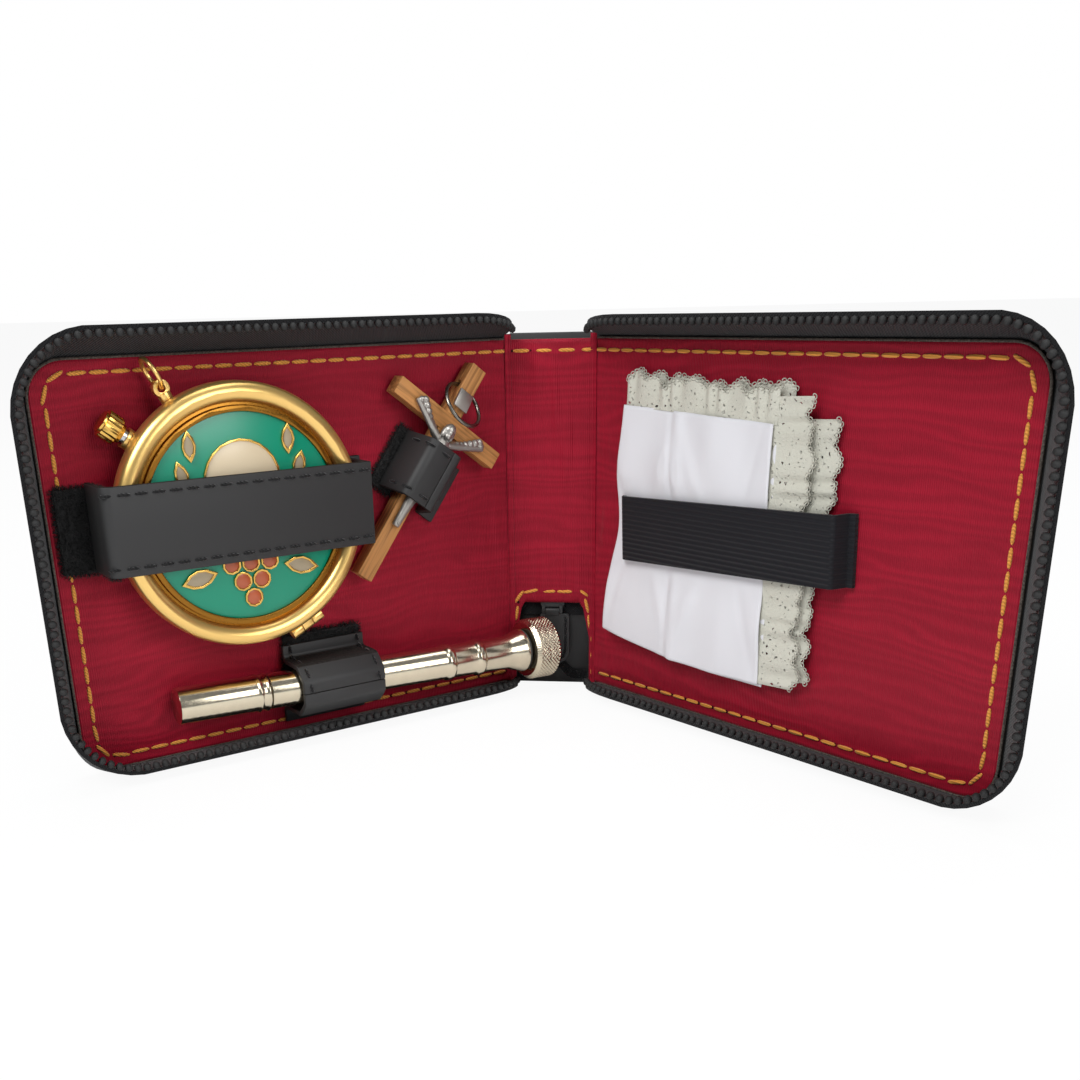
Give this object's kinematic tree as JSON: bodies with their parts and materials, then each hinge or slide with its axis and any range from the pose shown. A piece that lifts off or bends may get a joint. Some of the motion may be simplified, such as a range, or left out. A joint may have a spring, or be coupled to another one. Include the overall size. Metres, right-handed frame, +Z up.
{
  "type": "viaticum box",
  "caption": "Zipped leather case that opens like a book and holds a pyx, a small crucifix, a pocket sprinkler and a folded linen.",
  "frame": {"origin": "middle of the case's footprint on the table, as it stands open in the picture", "axes": "+X to the right along the spread of the two covers, +Z up, and the open side faces -Y"},
  "size_m": [0.1942, 0.093, 0.0929],
  "materials": {
    "black_leather": "fine-grained black leather, soft sheen",
    "strap_leather": "smooth black strap leather with raw edges",
    "red_lining": "crimson moire lining",
    "board": "grey board stiffener",
    "foam": "thin padding",
    "zip_tape": "black woven tape",
    "zip_nylon": "black nylon coil",
    "zip_metal": "black enamelled slider",
    "gold": "polished gold plate",
    "green_enamel": "translucent green enamel over a hammered ground",
    "cream_enamel": "cream enamel",
    "taupe_enamel": "taupe enamel",
    "terracotta_enamel": "terracotta enamel",
    "spring_steel": "spring wire",
    "hook_and_loop": "black hook-and-loop pile",
    "olive_wood": "light brown wood, oiled",
    "old_silver": "antique silver, dark in its recesses",
    "nickel": "warm polished nickel",
    "seal_rubber": "black rubber washer",
    "white_linen": "white linen with an ivory lace edge",
    "elastic": "ribbed black elastic"
  },
  "bodies": {
    "spine": {"spine_leather": "black_leather", "spine_board": "board", "spine_foam": "foam", "spine_lining": "red_lining", "zip_tail_tape": "zip_tape", "zip_lead_left": "zip_tape", "zip_lead_right": "zip_tape"},
    "left_cover": {"left_leather": "black_leather", "left_board": "board", "left_foam": "foam", "left_lining": "red_lining", "left_zip_tape": "zip_tape", "left_zip_teeth": "zip_nylon", "pyx_cup": "gold", "pyx_hinge_pin": "gold", "pyx_stem_tube": "gold", "pyx_crown_spring": "spring_steel", "pyx_bow_post": "gold", "pyx_strap_root": "strap_leather", "pyx_strap_patch": "hook_and_loop", "crucifix_loop_root": "strap_leather", "crucifix_loop_patch": "hook_and_loop", "sprinkler_loop_root": "strap_leather", "sprinkler_loop_patch": "hook_and_loop"},
    "right_cover": {"right_leather": "black_leather", "right_board": "board", "right_foam": "foam", "right_lining": "red_lining", "right_zip_tape": "zip_tape", "right_zip_teeth": "zip_nylon", "linen_cloth": "white_linen", "elastic_band": "elastic"},
    "zip_runner": {"zip_slider": "zip_metal"},
    "zip_tab": {"zip_pull_pin": "zip_metal", "zip_pull_tab": "strap_leather"},
    "lid": {"pyx_lid_bezel": "gold", "pyx_lid_plate": "gold", "pyx_lid_cells": "gold", "pyx_enamel_ground": "green_enamel", "pyx_enamel_host": "cream_enamel", "pyx_enamel_wheat": "taupe_enamel", "pyx_enamel_grapes": "terracotta_enamel"},
    "button": {"pyx_crown": "gold", "pyx_latch": "gold"},
    "bow": {"pyx_bow": "gold"},
    "big_strap": {"pyx_strap_flap": "strap_leather"},
    "cross": {"crucifix_upright": "olive_wood", "crucifix_crossbar": "olive_wood", "crucifix_plaque": "old_silver", "corpus": "old_silver", "corpus_pins": "old_silver"},
    "ring": {"crucifix_ring": "old_silver"},
    "small_strap": {"crucifix_loop_flap": "strap_leather"},
    "sprinkler": {"sprinkler_barrel": "nickel", "sprinkler_rose": "nickel"},
    "cap": {"sprinkler_cap": "nickel"},
    "filler": {"sprinkler_filler": "nickel", "sprinkler_washer": "seal_rubber"},
    "loop_strap": {"sprinkler_loop_flap": "strap_leather"}
  },
  "joints": [
    {"name": "left_cover_fold", "type": "hinge", "parent": "spine", "child": "left_cover", "pos_m": [-0.0105, 0.04259, 0.044], "axis": [0, 0, -1], "range_deg": [-47.5, 42.5]},
    {"name": "right_cover_fold", "type": "hinge", "parent": "spine", "child": "right_cover", "pos_m": [0.0105, 0.04259, 0.044], "axis": [0, 0, 1], "range_deg": [-47.5, 42.5]},
    {"name": "pyx_strap_peel", "type": "hinge", "parent": "left_cover", "child": "big_strap", "pos_m": [-0.03548, 0.0022, 0.0539], "axis": [0, 0, 1], "range_deg": [0, 105], "deforming": ["pyx_strap_flap"]},
    {"name": "pyx_lid_hinge", "type": "hinge", "parent": "left_cover", "child": "lid", "pos_m": [-0.05128, -0.00414, 0.02806], "axis": [0.6569, 0.602, 0.454], "range_deg": [0, 84]},
    {"name": "pyx_button_press", "type": "slide", "parent": "left_cover", "child": "button", "axis": [0.573, 0.525, -0.6293], "range_m": [0, 0.0008], "stiffness_N_per_m": 200, "springref_m": -0.001, "deforming": ["pyx_crown_spring"]},
    {"name": "pyx_bow_swing", "type": "hinge", "parent": "left_cover", "child": "bow", "pos_m": [-0.07216, -0.02097, 0.08059], "axis": [0.6756, -0.7373, 0], "range_deg": [-35, 35]},
    {"name": "crucifix_slide", "type": "slide", "parent": "left_cover", "child": "cross", "axis": [0.4424, 0.4054, 0.8], "range_m": [0, 0.004]},
    {"name": "crucifix_ring_swing", "type": "hinge", "parent": "cross", "child": "ring", "pos_m": [-0.01919, 0.03002, 0.0764], "axis": [-0.5898, -0.5405, 0.6], "range_deg": [0, 100]},
    {"name": "crucifix_strap_peel", "type": "hinge", "parent": "left_cover", "child": "small_strap", "pos_m": [-0.023, 0.01622, 0.05706], "axis": [0.4424, 0.4054, 0.8], "range_deg": [0, 100], "deforming": ["crucifix_loop_flap"]},
    {"name": "sprinkler_slide", "type": "slide", "parent": "left_cover", "child": "sprinkler", "axis": [0.7692, 0.6386, -0.022], "range_m": [-0.005, 0.0045]},
    {"name": "sprinkler_strap_peel", "type": "hinge", "parent": "left_cover", "child": "loop_strap", "pos_m": [-0.04287, -0.00438, 0.01321], "axis": [0.7373, 0.6756, 0], "range_deg": [0, 100], "deforming": ["sprinkler_loop_flap"]},
    {"name": "sprinkler_cap_pull", "type": "slide", "parent": "sprinkler", "child": "cap", "axis": [-0.7692, -0.6386, 0.022], "range_m": [0, 0.012]},
    {"name": "sprinkler_filler_turn", "type": "hinge", "parent": "sprinkler", "child": "filler", "pos_m": [-0.00101, 0.03842, 0.0119], "axis": [-0.7692, -0.6386, 0.022], "range_deg": [0, 360]},
    {"name": "zip_slider_run", "type": "slide", "parent": "spine", "child": "zip_runner", "axis": [0, 0, -1], "range_m": [0, 0.003]},
    {"name": "zip_pull_swing", "type": "hinge", "parent": "zip_runner", "child": "zip_tab", "pos_m": [0, 0.04329, 0.0201], "axis": [-1, 0, 0], "range_deg": [0, 5]}
  ],
  "couplings": [
    {"joint": "pyx_lid_hinge", "follows": "pyx_strap_peel", "ratio": 0.8},
    {"joint": "sprinkler_slide", "follows": "left_cover_fold", "m_per_rad": 0.006}
  ]
}
